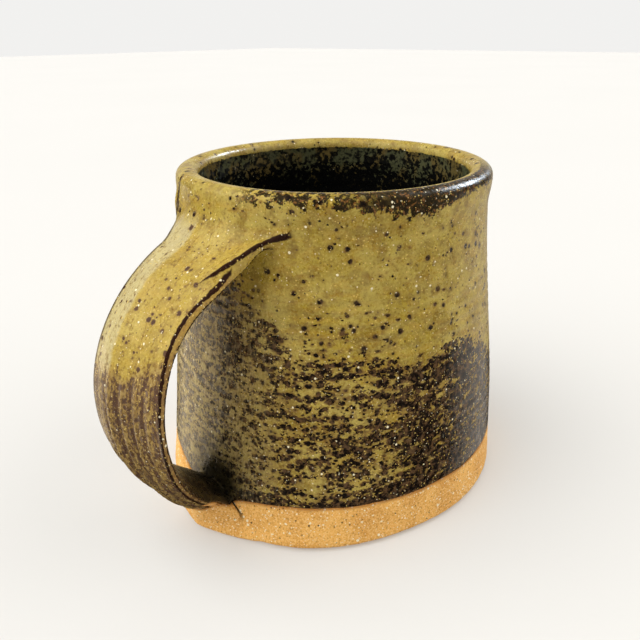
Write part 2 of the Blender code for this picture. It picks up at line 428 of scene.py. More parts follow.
def surface_net(form, low, high, cell):
    """Vertices and quads of the surface where a form crosses 0, one vertex in each crossed cell."""
    axes = [np.arange(low[k], high[k] + cell, cell) for k in range(3)]
    x, y, z = axes[0][:, None, None], axes[1][None, :, None], axes[2][None, None, :]
    field = form(x, y, z)
    inside = field < 0.0
    counts = np.zeros(tuple(n - 1 for n in field.shape), np.int8)
    corners = [(i, j, k) for i in (0, 1) for j in (0, 1) for k in (0, 1)]
    for i, j, k in corners:
        part = inside[i : i - 1 or None, j : j - 1 or None, k : k - 1 or None]
        counts += part
    cells = np.argwhere((counts > 0) & (counts < 8))
    index = np.full(counts.shape, -1, np.int64)
    index[tuple(cells.T)] = np.arange(len(cells))
    values = {c: field[tuple((cells + c).T)] for c in corners}
    total = np.zeros((len(cells), 3))
    crossings = np.zeros(len(cells))
    for a in corners:
        for axis in range(3):
            if a[axis]:
                continue
            b = tuple(1 if m == axis else a[m] for m in range(3))
            va, vb = values[a], values[b]
            crossed = (va < 0.0) != (vb < 0.0)
            share = np.where(crossed, va / np.where(crossed, va - vb, 1.0), 0.0)
            spot = np.array(a, float)[None] + share[:, None] * (np.array(b) - np.array(a))[None]
            total += np.where(crossed[:, None], spot, 0.0)
            crossings += crossed
    points = (cells + total / crossings[:, None]) * cell + np.array(low)
    quads = []
    for axis in range(3):
        first = np.moveaxis(inside, axis, 0)
        change = np.moveaxis(first[:-1] != first[1:], 0, axis)
        edges = np.argwhere(change)
        u, v = (axis + 1) % 3, (axis + 2) % 3
        edges = edges[(edges[:, u] > 0) & (edges[:, v] > 0)]
        edges = edges[(edges[:, u] < counts.shape[u]) & (edges[:, v] < counts.shape[v])]
        ring = []
        for du, dv in ((-1, -1), (0, -1), (0, 0), (-1, 0)):
            shifted = edges.copy()
            shifted[:, u] += du
            shifted[:, v] += dv
            ring.append(index[tuple(shifted.T)])
        quad = np.stack(ring, axis=1)
        leaving = inside[tuple(edges.T)]
        quads.append(np.where(leaving[:, None], quad, quad[:, ::-1]))
    return points, np.concatenate(quads)


def slope(form, points, step=0.05):
    """The form's value and its gradient at each point."""
    value = form(*points.T)
    gradient = np.empty_like(points)
    for axis in range(3):
        ahead, behind = points.copy(), points.copy()
        ahead[:, axis] += step
        behind[:, axis] -= step
        gradient[:, axis] = (form(*ahead.T) - form(*behind.T)) / (2.0 * step)
    return value, gradient


def settle(form, points, rounds=3):
    """Moves points onto the surface along its gradient."""
    for _ in range(rounds):
        value, gradient = slope(form, points)
        square = np.maximum((gradient**2).sum(1), 0.25)
        points = points - np.clip(value / square, -0.4, 0.4)[:, None] * gradient
    return points


def unit(vectors):
    return vectors / np.maximum(np.linalg.norm(vectors, axis=1), 1e-9)[:, None]


def draw_border(points, faces, level, form):
    """Picks the faces above a level and slides the points on their border onto the level's 0 line."""
    chosen = level(*points.T)[faces].mean(1) > 0.0
    shared = np.intersect1d(faces[chosen], faces[~chosen])
    spots = points[shared]
    for _ in range(2):
        value, climb = slope(level, spots)
        normals = unit(slope(form, spots)[1])
        climb = climb - (climb * normals).sum(1)[:, None] * normals
        stride = value / np.maximum((climb**2).sum(1), 0.1)
        spots = spots - np.clip(stride, -CELL, CELL)[:, None] * climb
    points = points.copy()
    points[shared] = settle(form, spots, 1)
    return points, chosen


def mesh_piece(name, points, faces, normals=None, attributes=None):
    """One object from points in millimetres."""
    mesh = bpy.data.meshes.new(name)
    mesh.from_pydata((points * MM).tolist(), [], [tuple(f) for f in faces])
    mesh.validate()
    mesh.shade_smooth()
    if normals is not None:
        mesh.normals_split_custom_set_from_vertices(normals.tolist())
    for key, values in (attributes or {}).items():
        kind, slot = ("FLOAT_VECTOR", "vector") if values.ndim == 2 else ("FLOAT", "value")
        layer = mesh.attributes.new(key, kind, "POINT")
        layer.data.foreach_set(slot, values.astype(np.float32).ravel())
    piece = bpy.data.objects.new(name, mesh)
    bpy.context.collection.objects.link(piece)
    return piece


def compact(points, faces, extras):
    """Drops the points that no face uses."""
    used = np.unique(faces)
    new_index = np.full(len(points), -1, np.int64)
    new_index[used] = np.arange(len(used))
    return points[used], new_index[faces], {k: v[used] for k, v in extras.items()}


def open_edges(faces):
    """Directed border edges of a quad sheet."""
    edges = np.concatenate([faces[:, [i, (i + 1) % 4]] for i in range(4)])
    ordered = np.sort(edges, axis=1)
    keys = ordered[:, 0] * (faces.max() + 1) + ordered[:, 1]
    _, first, counts = np.unique(keys, return_index=True, return_counts=True)
    return edges[first[counts == 1]]


def shell(points, faces, normals, thickness):
    """Closes a sheet into a shell of the given thickness, grown inwards."""
    count = len(points)
    border = open_edges(faces)
    under = points - normals * thickness
    rim = np.stack([border[:, 1], border[:, 0], border[:, 0] + count, border[:, 1] + count], axis=1)
    all_points = np.concatenate([points, under])
    all_faces = np.concatenate([faces, faces[:, ::-1] + count, rim])
    return all_points, all_faces, np.concatenate([normals, -normals])


def closed_part(points, faces, normals, marks, thickness):
    """The faces' part of a sheet as a closed shell, with its marks."""
    part_points, part_faces, kept = compact(points, faces, {"normals": normals, **marks})
    closed = shell(part_points, part_faces, kept.pop("normals"), thickness)
    return closed, {key: np.concatenate([value, value]) for key, value in kept.items()}


def joined_piece(name, sheet, body_points, body_faces):
    """One piece from a closed shell that shows and a plainer body hidden under it."""
    (points, faces, normals), marks = sheet
    shift = len(points)
    all_faces = [tuple(f) for f in faces] + [tuple(i + shift for i in f) for f in body_faces]
    unset = np.zeros((len(body_points), 3))
    away = np.full(len(body_points), -FAR_AWAY)
    padded = {key: np.concatenate([value, away]) for key, value in marks.items()}
    all_points = np.concatenate([points, body_points])
    return mesh_piece(name, all_points, all_faces, np.concatenate([normals, unset]), padded)


# ---- glaze lines and marks ----


def glaze_line(x, y):
    """Height of the glaze's lower edge: it dips beside the strap and again over the strap's heel."""
    r, turn = polar(x, y)
    wander = 0.25 * noise(x, y, 0.0, 9.0, 3) + 0.15 * noise(x, y, 0.0, 3.0, 4)
    dip = GLAZE_DIP * bump(turn, 0.0, 0.24) + 0.6 * bump(turn, 0.0, 0.8)
    on_heel = smoothstep(52.5, 61.0, r)
    heel = 1.2 * smoothstep(52.5, 56.5, r) * bump(turn, 0.0, 0.3)
    near_edge = HEEL_LIFT * on_heel * smoothstep(3.0, 9.0, r * turn) * bump(turn, 0.0, 0.5)
    return GLAZE_LINE - dip - heel + near_edge + wander


def ash_line(x, y):
    """Height of the ash coat's lower edge round the wall."""
    _, turn = polar(x, y)
    degrees = np.degrees(turn)
    rise = ASH_RISE * bump(degrees, 6.0, 17.0) - ASH_TONGUE * bump(degrees, 114.0, 15.0)
    wave = 2.5 * np.sin(3.0 * turn - 0.9) * smoothstep(120.0, 150.0, np.abs(degrees))
    return ASH_LINE + rise + wave - 2.2 * bump(degrees, 67.0, 7.0)


def strap_ash_line(y):
    """Height of the ash coat's lower edge on the strap: it climbs towards the near edge."""
    return STRAP_ASH_LINE + 5.0 * smoothstep(0.0, 10.0, -y)


def rim_band_edge(degrees):
    """Height of the lower edge of the dark band under the near lip."""
    return RIM_BAND - 2.6 * bump(degrees, 67.0, 14.0) + 1.2 * bump(degrees, 5.0, 8.0)


def strap_share(x, y, z):
    """1 on the strap, 0 on the wall, soft between."""
    r, turn = polar(x, y)
    outside_wall = r - wall_radius(z) - foot_bulge(z, turn)
    return smoothstep(0.8, 5.0, outside_wall) * fall(-36.0, -30.0, x)


def keep_level(x, y, z):
    """Above 0 where the outer coats lie: over the glaze line outside, and over the lip inside."""
    r, _ = polar(x, y)
    middle = wall_radius(np.minimum(z, LIP_CENTRE)) - LIP_HALF_WIDTH
    return np.where(r > middle, z - glaze_line(x, y), z - ASH_INSIDE - 0.4 * noise(x, y, z, 6.0, 11))


def ash_level(x, y, z):
    strap = strap_share(x, y, z)
    line = ash_line(x, y) * (1.0 - strap) + strap_ash_line(y) * strap
    return z - line - 0.8 * noise(x, y, z, 5.0, 21) * strap


def olive_cover(points, strap):
    """The share of olive ash glaze, from 0 to 1, over the dark iron below it."""
    x, y, z = points.T
    _, turn = polar(x, y)
    degrees = np.degrees(turn)
    centre = 0.47 + 0.06 * smoothstep(28.0, 46.0, z) + 0.05 * bump(z, 24.0, 5.0)
    dark_side = smoothstep(38.0, 82.0, degrees) + fall(-75.0, -40.0, degrees)
    slow = 0.10 * noise(x, y, z, 16.0, 31)
    lower = centre + (0.04 - centre) * np.clip(dark_side, 0.0, 1.0) + slow
    lower = lower - 0.62 * bump(z - glaze_line(x, y), 0.0, 3.0)
    wall = lower + (0.98 - lower) * smoothstep(-1.8, 2.4, z - ash_line(x, y))
    near_border = 0.24 * fall(48.0, 68.0, z) * (1.0 - np.clip(1.3 * dark_side, 0.0, 1.0))
    wall = wall - near_border * smoothstep(46.0, 54.0, z)
    on_strap = 0.20 + 0.76 * smoothstep(-5.0, 3.5, z - strap_ash_line(y) + 1.5 * noise(x, y, z, 4.0, 33))
    return wall + (on_strap - wall) * strap


def arris_marks(points, along, outside):
    """Signed distances to the lines where the glaze breaks thin, and how strongly each line shows.

    The lines are the fold's ridge, and the near edge's outer and inner corners.
    """
    x, y, z = points.T
    r, turn = polar(x, y)
    half, outer, inner, corner, inner_corner = strap_levels(along, y)
    fold = fold_place(along)
    fold_line = np.maximum(y - fold, 0.0) + np.minimum(outside - 0.4, 0.0) * (y < fold + 0.3)
    across = np.maximum(y + half, 0.0)
    inner_face = (outside < 0.5 * (outer + inner)) & (across > 0.2)
    past_corner = y + half - bevel_width(along) + np.minimum(outside - corner, 0.0)
    outer_line = np.where(inner_face, -FAR_AWAY, past_corner)
    inner_line = np.where(inner_face, -across, across + outside - inner_corner)
    lines = [np.where(y < 0.0, v, FAR_AWAY) for v in (fold_line, outer_line, inner_line)]
    free = smoothstep(0.4, 1.4, r - wall_radius(z) - foot_bulge(z, turn)) * (z > 6.0)
    at_wall = smoothstep(0.1, 0.5, r - wall_radius(z)) * (z > 70.0)
    shows = [
        at_wall * fall(8.0, FOLD_END, along) * smoothstep(-3.8, 0.2, along),
        free * smoothstep(10.0, 15.0, along) * (1.0 - 0.4 * smoothstep(60.0, 80.0, along)),
        free * (1.0 - 0.3 * smoothstep(70.0, 90.0, along)),
    ]
    return np.stack(lines, 1), np.stack(shows, 1)


def rim_marks(points, along, outside, strap):
    """Distances to the lip's dark band, the far ridge and the strap's far edge, and how each shows."""
    x, y, z = points.T
    r, turn = polar(x, y)
    degrees = np.degrees(turn)
    on_lip = r > LIP_RADIUS - 0.6
    band = np.where(on_lip, z - rim_band_edge(degrees), -FAR_AWAY)
    past_edge = np.abs(strap_half_width(along, y) - y) + 0.3 * np.abs(outside + 0.5)
    far_edge = np.where(y > 0.0, past_edge, FAR_AWAY)
    band_shows = smoothstep(4.0, 16.0, degrees) * fall(104.0, 140.0, degrees)
    ridge_shows = smoothstep(75.0, 79.0, z) * fall(88.5, 89.8, z) * (r > LIP_RADIUS)
    distances = np.stack([band, r * (turn - FAR_RIDGE_LINE), far_edge], 1)
    return distances, np.stack([band_shows, ridge_shows, strap], 1)


def pit_shade_mark(points, along, outside):
    """Painted shade: the dark pocket where the strap's heel meets the wall, and the shade under the heel.
    """
    x, y, z = points.T
    r, turn = polar(x, y)
    pit = np.minimum(1.4 * bump(np.hypot(r * (turn - 0.05), z - 13.0), 0.0, 8.5), 1.0)
    pit = pit * fall(57.0, 62.0, r)
    _, outer, inner, _, _ = strap_levels(along, y)
    inner_face = outside < 0.5 * (outer + inner)
    under_strap = inner_face * smoothstep(50.0, 54.0, r) * smoothstep(66.0, 82.0, along)
    return np.maximum(pit, 0.88 * under_strap * (np.abs(y) < 12.0))


def skin_marks(points):
    """Everything the glaze's material needs to know about each point of the skin."""
    x, y, z = points.T
    r, turn = polar(x, y)
    degrees = np.degrees(turn)
    along, outside = strap_place(x, z)
    strap = strap_share(x, y, z)
    lines, line_shows = arris_marks(points, along, outside)
    rims, rim_shows = rim_marks(points, along, outside, strap)
    # Painted sheen: a pale reflection painted on the wall behind the strap.
    mist = fall(6.0, 30.0, degrees) * smoothstep(-50.0, -25.0, degrees) * (1.0 - strap)
    return {
        "cover": olive_cover(points, strap),
        "strap": strap,
        "flow": np.stack([y, outside, along], 1),
        "lines": lines,
        "line_shows": line_shows,
        "rims": rims,
        "rim_shows": rim_shows,
        "solid_band": smoothstep(30.0, 62.0, degrees),
        # Painted shade by and under the strap's heel.
        "pit": pit_shade_mark(points, along, outside),
        "mist": mist * fall(58.0, 70.0, z),
        "inside": (r < LIP_RADIUS) * fall(87.0, 88.0, z),
    }


# ---- glaze skin and bare clay ----


def round_off(points, faces, normals):
    """Tucks the skin's outer lower border in, as glaze rounds off where it stops."""
    border = np.unique(open_edges(faces))
    border = border[points[border, 2] < GLAZE_LINE + 3.0]
    points, normals = points.copy(), normals.copy()
    points[border] -= 0.22 * normals[border]
    normals[border] = unit(normals[border] - np.array((0.0, 0.0, 0.9)))
    return points, normals


def make_skin():
    """The outer coats: meshed as one melted surface, then parted along the ash coat's lower edge."""
    low = (-STRAP_REACH - 3.0, -54.0, 4.0)
    high = (50.0, 54.0, HEIGHT + 1.5)
    points, faces = surface_net(skin_form, low, high, CELL)
    points = settle(skin_form, points)
    points, kept = draw_border(points, faces, keep_level, skin_form)
    points, faces, _ = compact(points, faces[kept], {})
    points, above = draw_border(points, faces, ash_level, skin_form)
    normals = unit(slope(skin_form, points)[1])
    marks = skin_marks(points)
    points, normals = round_off(points, faces, normals)
    pieces = []
    for name, chosen in (("ash_glaze_skin", above), ("iron_glaze_skin", ~above)):
        closed, part_marks = closed_part(points, faces[chosen], normals, marks, GLAZE)
        pieces.append(mesh_piece(name, *closed, part_marks))
    return pieces


def tail_level(x, y, z):
    """Above 0 on the strap's tail and below 0 on the cup's foot."""
    r, turn = polar(x, y)
    along, outside = strap_place(x, z)
    return np.where(x < -30.0, outer_form(r, turn, z) - strap_form(x, y, along, outside), -1.0)


def make_bare_sheets():
    """The bare clay of foot and tail as one surface, parted where the tail was joined on."""
    reach = -STRAP_KNOTS[1][3][0] - 2.0
    points, faces = surface_net(foot_form, (reach, -56.0, -1.2), (54.0, 56.0, 16.5), CELL * 0.9)
    points = settle(foot_form, points)
    x, y, z = points.T
    over = z - glaze_line(x, y)
    r, _ = polar(x, y)
    kept = (over[faces].mean(1) < 1.4) & (r[faces].mean(1) > HOLLOW_EDGE[0] - 1.0)
    points, faces, _ = compact(points, faces[kept], {})
    points, on_tail = draw_border(points, faces, tail_level, foot_form)
    normals = unit(slope(foot_form, points)[1])
    grain = 0.05 * noise(*points.T, 1.3, 41) + 0.04 * noise(*points.T, 2.9, 42)
    points = points + normals * np.minimum(grain, 0.06)[:, None]
    x, y, z = points.T
    marks = {
        "crease": tail_level(x, y, z),
        "crease_shows": smoothstep(4.4, 8.4, z) * (y < 0.0),
        "over": z - glaze_line(x, y),
    }
    parts = (faces[~on_tail], faces[on_tail])
    return [closed_part(points, part, normals, marks, BARE_THICKNESS) for part in parts]


# ---- turned pieces ----


def lathe(profile, around, bulged):
    """A closed turned body. Its profile holds (radius, height) from one end's centre to the other's."""
    turns = np.linspace(0.0, math.tau, around, endpoint=False)
    points, faces = [], []
    for radius, z in profile:
        reach = radius + out_of_round(z, turns)
        if bulged:
            reach = reach + foot_bulge(z, turns) * smoothstep(40.0, 46.0, radius)
        level = np.full(around, z)
        points.append(np.stack([-reach * np.cos(turns), -reach * np.sin(turns), level], axis=1))
    steps = np.arange(around)
    for row in range(len(profile) - 1):
        a = row * around + steps
        b = row * around + (steps + 1) % around
        faces += np.stack([a, b, b + around, a + around], axis=1).tolist()
    faces.append(list(range(around))[::-1])
    faces.append(list(range((len(profile) - 1) * around, len(profile) * around)))
    return np.concatenate(points), faces


def inner_profile(offset, step):
    """Inside section from under the lip to the floor's centre; offset moves it into the clay."""
    fillet_top = FLOOR_THICKNESS + FLOOR_FILLET
    run = [(inner_radius(z) + offset, z) for z in np.arange(LIP_CENTRE, fillet_top, -step)]
    corner = inner_radius(fillet_top) - FLOOR_FILLET
    reach = FLOOR_FILLET + offset
    for angle in np.linspace(0.0, math.pi / 2.0, max(5, int(18 / step))):
        run.append((corner + reach * math.cos(angle), fillet_top - reach * math.sin(angle)))
    floor = FLOOR_THICKNESS - offset
    run += [(corner * share, floor) for share in np.linspace(0.95, 0.03, max(4, int(30 / step)))]
    return run


def make_liner():
    """The liner glaze, with the inside's own throwing rings in its surface."""
    shown = inner_profile(LINER_INSET, 0.8)[::-1]
    hidden = inner_profile(LINER_INSET + GLAZE, 6.0)
    points, faces = lathe(shown + hidden, 360, bulged=False)
    r, turn = polar(points[:, 0], points[:, 1])
    ring = 0.10 * np.sin(math.tau * points[:, 2] / 3.6 + turn) * smoothstep(14.0, 22.0, points[:, 2])
    ring = ring * fall(74.0, 82.0, points[:, 2])
    outward = np.stack([points[:, 0] / r, points[:, 1] / r, 0.0 * r], 1)
    return mesh_piece("liner_glaze_skin", points + outward * ring[:, None], faces)


def make_cup_clay(sheet):
    """Thrown wall and floor under the glaze, with the bare foot over them."""
    under = GLAZE + 0.35
    ring = FOOT_RADIUS - FOOT_EDGE
    profile = [(share * ring, HOLLOW_DEPTH) for share in np.linspace(0.03, 0.97, 12)]
    profile += [(ring - 0.3, HOLLOW_DEPTH + 0.3), (FOOT_RADIUS - 2.2, 3.2)]
    profile += [(wall_radius(z) - under - 0.3, z) for z in np.arange(5.0, LIP_CENTRE, 3.0)]
    for angle in np.linspace(0.0, math.pi, 9):
        across = (LIP_HALF_WIDTH - under) * math.cos(angle)
        up = (LIP_HALF_HEIGHT - under) * math.sin(angle)
        profile.append((LIP_RADIUS + across, LIP_CENTRE + up))
    profile += inner_profile(LINER_INSET + GLAZE + 0.1, 5.0)
    body = lathe(profile, 240, bulged=True)
    return joined_piece("cup_clay", sheet, *body)


def clay_strap_form(x, y, z):
    along, outside = strap_place(x, z)
    strap = strap_form(x, y, along, outside)
    r, turn = polar(x, y)
    seat = wall_radius(z) + foot_bulge(z, turn) + out_of_round(z, turn) + 0.05 - r
    return np.maximum(np.maximum(strap + GLAZE + 0.12, seat), 0.6 - z)


def make_strap_clay(sheet):
    """The strap's clay and its joining slip under the glaze, with the bare tail over it."""
    low = (-STRAP_REACH - 2.0, -22.0, -1.0)
    high = (-36.0, 23.0, HEIGHT)
    points, faces = surface_net(clay_strap_form, low, high, 1.0)
    points = settle(clay_strap_form, points, 2)
    return joined_piece("strap_clay", sheet, points, faces)


# ---- materials ----


class Nodes:
    """Builds one shader tree. Inputs may be numbers, colours or other nodes' outputs."""

    def __init__(self, tree):
        self.tree = tree

    def feed(self, socket, value):
        if isinstance(value, bpy.types.NodeSocket):
            self.tree.links.new(value, socket)
        elif isinstance(value, tuple) and socket.type == "RGBA":
            socket.default_value = (*value, 1.0)
        else:
            socket.default_value = value

    def node(self, kind, **settings):
        node = self.tree.nodes.new("ShaderNode" + kind)
        for key, value in settings.items():
            setattr(node, key, value)
        return node

    def wired(self, node, inputs, output=0):
        """Feeds the numbered or named inputs of a node and gives one of its outputs."""
        for index, value in inputs.items():
            self.feed(node.inputs[index], value)
        return node.outputs[output]

    def math(self, operation, a, b=0.0, clamp=False):
        return self.wired(self.node("Math", operation=operation, use_clamp=clamp), {0: a, 1: b})

    def chain(self, operation, values):
        total = values[0]
        for value in values[1:]:
            total = self.math(operation, total, value)
        return total

    def add(self, *values):
        return self.chain("ADD", values)

    def times(self, *values):
        return self.chain("MULTIPLY", values)

    def most(self, *values):
        return self.chain("MAXIMUM", values)

    def less(self, a, b):
        return self.math("SUBTRACT", a, b)

    def absolute(self, value):
        return self.math("ABSOLUTE", value)

    def ramp(self, value, low, high, start=0.0, end=1.0):
        node = self.node("MapRange", interpolation_type="SMOOTHSTEP")
        return self.wired(node, dict(enumerate((value, low, high, start, end))))

    def fall(self, value, low, high):
        return self.ramp(value, low, high, 1.0, 0.0)


class Graph(Nodes):
    """One material's shader nodes, with lengths in mm."""

    def __init__(self, name, specular=0.5):
        self.material = bpy.data.materials.new(name)
        self.material.use_nodes = True
        super().__init__(self.material.node_tree)
        self.shader = self.tree.nodes["Principled BSDF"]
        self.shader.inputs["Specular IOR Level"].default_value = specular
        coordinates = self.node("TexCoord").outputs["Object"]
        self.place = self.vector("SCALE", coordinates, scale=1.0 / MM)
        self.height = self.split(self.place)[2]

    def vector(self, operation, a, b=(0.0, 0.0, 0.0), scale=1.0):
        return self.wired(self.node("VectorMath", operation=operation), {0: a, 1: b, 3: scale})

    def scaled(self, place, *factors):
        return self.vector("MULTIPLY", place, factors)

    def moved(self, place, *steps):
        return self.vector("ADD", place, steps)

    def split(self, value):
        node = self.node("SeparateXYZ")
        self.feed(node.inputs[0], value)
        return node.outputs

    def mark(self, name):
        return self.node("Attribute", attribute_name=name).outputs["Fac"]

    def mark_vector(self, name):
        return self.node("Attribute", attribute_name=name).outputs["Vector"]

    def marks(self, name):
        return self.split(self.mark_vector(name))

    def noise(self, size, detail=2.0, roughness=0.5, distortion=0.0, place=None):
        place = self.place if place is None else place
        inputs = {"Vector": place, "Scale": 1.0 / size, "Detail": detail}
        inputs.update({"Roughness": roughness, "Distortion": distortion})
        return self.wired(self.node("TexNoise"), inputs)

    def wander(self, *settings, **place):
        """A noise centred on 0."""
        return self.less(self.noise(*settings, **place), 0.5)

    def warped(self, reach, size, place=None):
        """The place pushed about by a noise, which makes outlines ragged."""
        place = self.place if place is None else place
        push = self.wired(self.node("TexNoise"), {"Vector": place, "Scale": 1.0 / size}, "Color")
        push = self.vector("SUBTRACT", push, (0.5, 0.5, 0.5))
        return self.vector("ADD", place, self.vector("SCALE", push, scale=reach))

    def blend(self, share, a, b):
        return self.wired(self.node("Mix", data_type="RGBA"), {0: share, 6: a, 7: b}, 2)

    def blend_vector(self, share, a, b):
        return self.wired(self.node("Mix", data_type="VECTOR"), {0: share, 4: a, 5: b}, 1)

    def layers(self, colour, *coats):
        """Lays coats over a colour in turn. A coat is how much of it shows, and its colour."""
        for share, coat in coats:
            colour = self.blend(share, colour, coat)
        return colour

    def cells(self, place, spacing):
        """Scattered cells: the distance to each one's centre, and two numbers of its own."""
        node = self.node("TexVoronoi")
        distance = self.wired(node, {"Vector": place, "Scale": 1.0 / spacing}, "Distance")
        size, pick, _ = self.split(node.outputs["Color"])
        return distance, size, pick

    def specks(self, place, spacing, small, large, chance):
        """Round specks of mixed size, one at most in each cell: 1 on a speck, 0 off it."""
        distance, size, pick = self.cells(place, spacing)
        reach = self.add(self.times(size, (large - small) / spacing), small / spacing)
        spot = self.fall(distance, self.times(reach, 0.6), reach)
        return self.times(spot, self.math("LESS_THAN", pick, chance))

    def grown_specks(self, place, spacing, wanted):
        """Spots that grow and run together as the wanted share rises: the spots, and a wider halo."""
        distance, size, pick = self.cells(place, spacing)
        growth = self.add(0.42, self.times(wanted, 0.75))
        reach = self.times(self.add(0.30, self.times(size, 0.55)), growth)
        picked = self.math("LESS_THAN", pick, self.times(wanted, 1.7))
        spot = self.fall(distance, self.times(reach, 0.72), reach)
        halo = self.fall(distance, reach, self.add(reach, 0.22))
        return self.times(spot, picked), self.times(halo, picked)

    def finish(self, colour, roughness, height):
        """Wires colour, roughness and a height field in mm into the shader."""
        relief = self.node("Bump")
        surface = self.wired(relief, {"Strength": 1.0, "Distance": MM, "Height": height})
        self.wired(self.shader, {"Base Color": colour, "Roughness": roughness, "Normal": surface})
        return self.material


# How far the thin glaze reaches to either side of the fold and of the near edge's two corners.
LINE_REACHES = (0.85, 0.62, 0.46)

# Colours, as linear red, green and blue.
OLIVE = (0.385, 0.270, 0.032)
OLIVE_PALE = (0.52, 0.405, 0.095)
OLIVE_BROWN = (0.205, 0.120, 0.018)
OLIVE_GOLD = (0.44, 0.240, 0.028)
LIP_CREAM = (0.60, 0.55, 0.28)
# Painted sheen on the wall behind the strap.
PAINTED_SHEEN = (0.46, 0.36, 0.18)
STRAP_BROWN = (0.135, 0.072, 0.043)
STRAP_TAN = (0.36, 0.235, 0.095)
# Painted sheen along the strap's far ridge.
FAR_PAINTED_SHEEN = (0.62, 0.57, 0.35)
# Painted light: lightens the whole strap as if lit more strongly.
STRAP_PAINTED_LIGHT = (0.62, 0.44, 0.105)
IRON_BLACK = (0.010, 0.006, 0.004)
IRON_BROWN = (0.130, 0.068, 0.026)
IRON_EDGE = (0.20, 0.105, 0.022)
BREAK_BROWN = (0.028, 0.010, 0.005)
ARRIS_TAN = (0.36, 0.20, 0.055)
RIM_RUST = (0.21, 0.085, 0.020)
GROG = (0.92, 0.82, 0.54)
GROG_GOLD = (0.70, 0.50, 0.13)
CLAY = (0.86, 0.45, 0.105)
CLAY_DEEP = (0.72, 0.34, 0.066)
CLAY_BLUSH = (0.36, 0.135, 0.030)
CLAY_PALE = (0.95, 0.66, 0.28)
CLAY_DARK = (0.36, 0.165, 0.036)
CLAY_GROG = (0.98, 0.88, 0.62)
CLAY_IRON = (0.06, 0.028, 0.012)
CREASE_DARK = (0.03, 0.014, 0.006)
# Painted shade for the pocket by the strap's heel and under the heel.
PIT_SHADE_BLACK = (0.003, 0.003, 0.002)
INSIDE_BLACK = (0.0045, 0.0045, 0.004)
INSIDE_SHADE = (0.002, 0.002, 0.002)
INSIDE_OLIVE = (0.075, 0.078, 0.036)
INSIDE_GOLD = (0.12, 0.085, 0.025)
INSIDE_RUST = (0.13, 0.065, 0.015)
DEEP_DARK = (0.010, 0.009, 0.006)
DEEP_BROWN = (0.034, 0.028, 0.012)
FLOOR_GREY = (0.445, 0.44, 0.43)
FLOOR_PALE = (0.465, 0.46, 0.45)
FLOOR_LIGHT = (1.0, 0.985, 0.93)


def olive_colour(g):
    """The olive-yellow ash glaze: clouds of browner and paler glaze with a fine broken grain."""
    slow = g.ramp(g.noise(13.0), 0.38, 0.64)
    cloud = g.ramp(g.noise(4.6, 3.0, 0.65), 0.44, 0.64)
    streak = g.ramp(g.noise(1.7, 3.0, 0.6, place=g.scaled(g.place, 0.35, 0.35, 1.0)), 0.44, 0.66)
    fine = g.noise(0.6, 3.0, 0.7)
    return g.layers(
        OLIVE,
        (g.times(slow, 0.7), OLIVE_PALE),
        (g.times(cloud, 0.62), OLIVE_BROWN),
        (g.times(streak, 0.35), OLIVE_GOLD),
        (g.ramp(fine, 0.48, 0.70, 0.0, 0.65), OLIVE_PALE),
        (g.ramp(fine, 0.34, 0.47, 0.60, 0.0), OLIVE_BROWN),
    )


def rings_and_valleys(g, strap):
    """More iron, above 0, along the wall's throwing rings and in the valleys along the strap."""
    sway = g.noise(14.0, 1.0)
    ring = g.math("SINE", g.add(g.times(g.height, math.tau / 2.9), g.times(sway, 9.0)))
    across = g.marks("flow")[0]
    valley = g.math("COSINE", g.add(g.times(across, RIDGE_RATE), 0.5))
    return g.times(ring, 0.15, g.less(1.0, strap)), g.times(valley, -0.18, strap)


def strap_iron(g, share, valley):
    """Iron drawn along the strap by the wet hand that pulled it: the dark, and its brown edge."""
    combed = g.noise(1.2, 4.0, 0.75, place=g.scaled(g.mark_vector("flow"), 1.5, 1.0, 0.95))
    level = g.less(g.add(0.68, g.times(valley, -0.24)), g.times(share, 0.25))
    dark = g.ramp(combed, level, g.add(level, 0.05))
    return dark, g.ramp(combed, g.less(level, 0.16), g.add(level, 0.01))


def iron_pattern(g, cover, strap):
    """How far the dark iron shows through the ash: the dark, and its brown edge."""
    thrown = g.scaled(g.place, 0.70, 0.70, 1.0)
    pulled = g.scaled(g.mark_vector("flow"), 1.1, 1.0, 0.45)
    drawn = g.blend_vector(strap, thrown, pulled)
    blotch = g.less(g.noise(1.8, 3.0, 0.62, 0.25, place=drawn), 0.5)
    ring, valley = rings_and_valleys(g, strap)
    drift = g.add(g.times(g.wander(5.5, place=drawn), 1.5), g.times(blotch, 1.9), ring, valley)
    share = g.less(1.0, cover)
    softened = g.times(drift, g.ramp(share, 0.02, 0.30, 0.15, 1.0))
    wanted = g.math("ADD", share, softened, clamp=True)
    ragged = g.warped(0.55, 0.8, drawn)
    large, large_halo = g.grown_specks(ragged, 1.5, wanted)
    small, small_halo = g.grown_specks(g.moved(ragged, 3.7, 8.1, 5.3), 0.85, g.times(wanted, 0.95))
    solid = g.ramp(g.add(wanted, g.times(blotch, 0.8)), 0.78, 1.0)
    haze = g.ramp(wanted, 0.25, 0.85, 0.0, 0.45)
    wall_look = (g.most(large, small, solid), g.most(large_halo, g.times(small_halo, 0.7), haze))
    strap_look = strap_iron(g, share, valley)
    wall = g.less(1.0, strap)
    return [g.add(g.times(a, wall), g.times(b, strap)) for a, b in zip(wall_look, strap_look)]


